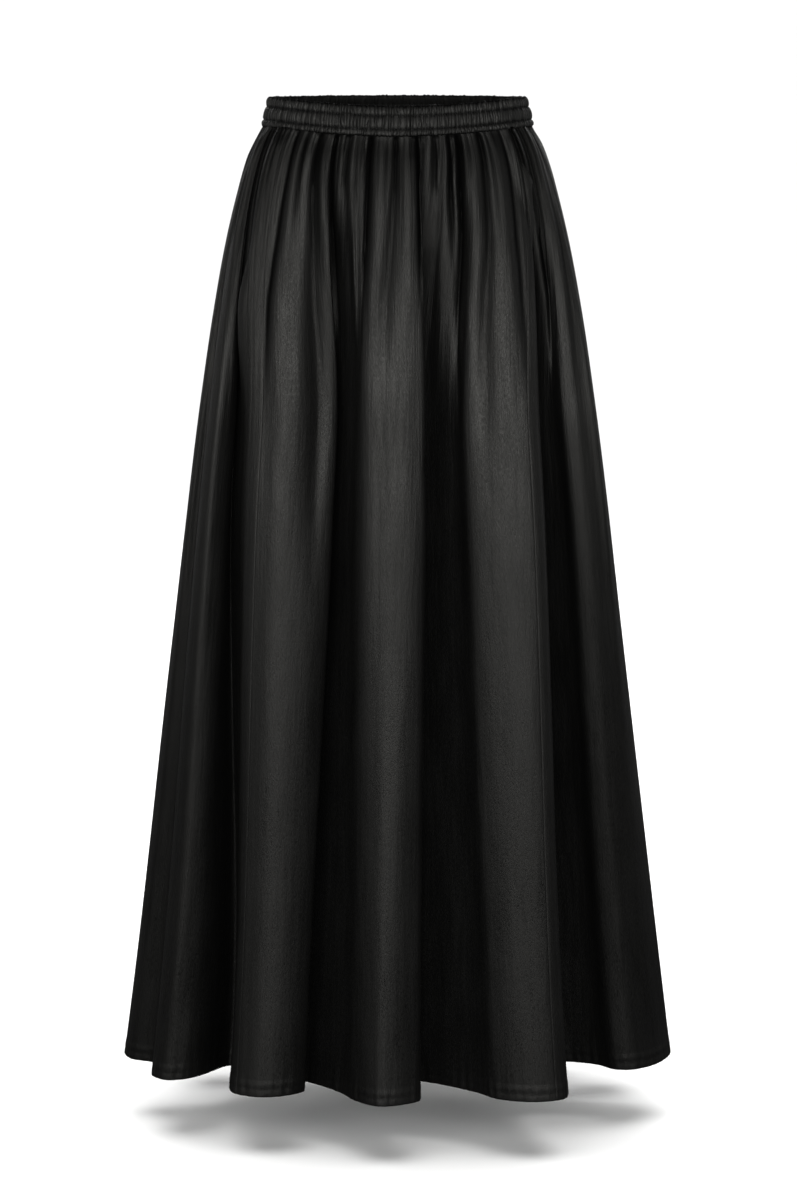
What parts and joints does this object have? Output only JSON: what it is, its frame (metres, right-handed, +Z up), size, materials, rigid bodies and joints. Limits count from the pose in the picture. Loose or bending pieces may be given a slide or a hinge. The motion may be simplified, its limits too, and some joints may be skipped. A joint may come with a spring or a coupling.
{
  "type": "maxi skirt filled out with no wearer",
  "caption": "Long flared skirt in black satin, gathered in soft folds from a ruched elastic waistband, hollow and open at the waist and the level hem",
  "frame": {"origin": "the middle of the waistband's ring, at half its height, where the wearer's waist holds the skirt", "axes": "+Z up along the body, -Y towards the front, +X to the right of someone who looks at the front"},
  "size_m": [0.5495, 0.4202, 0.9627],
  "materials": {
    "waistband": "black satin, ruched over elastic",
    "gore_front_centre": "black satin",
    "gore_front_left": "black satin",
    "gore_front_right": "black satin",
    "gore_back_centre": "black satin",
    "gore_back_left": "black satin",
    "gore_back_right": "black satin"
  },
  "bodies": {
    "root": {"waistband": "waistband", "gore_front_centre": "gore_front_centre", "gore_front_left": "gore_front_left", "gore_front_right": "gore_front_right", "gore_back_centre": "gore_back_centre", "gore_back_left": "gore_back_left", "gore_back_right": "gore_back_right"}
  },
  "joints": []
}
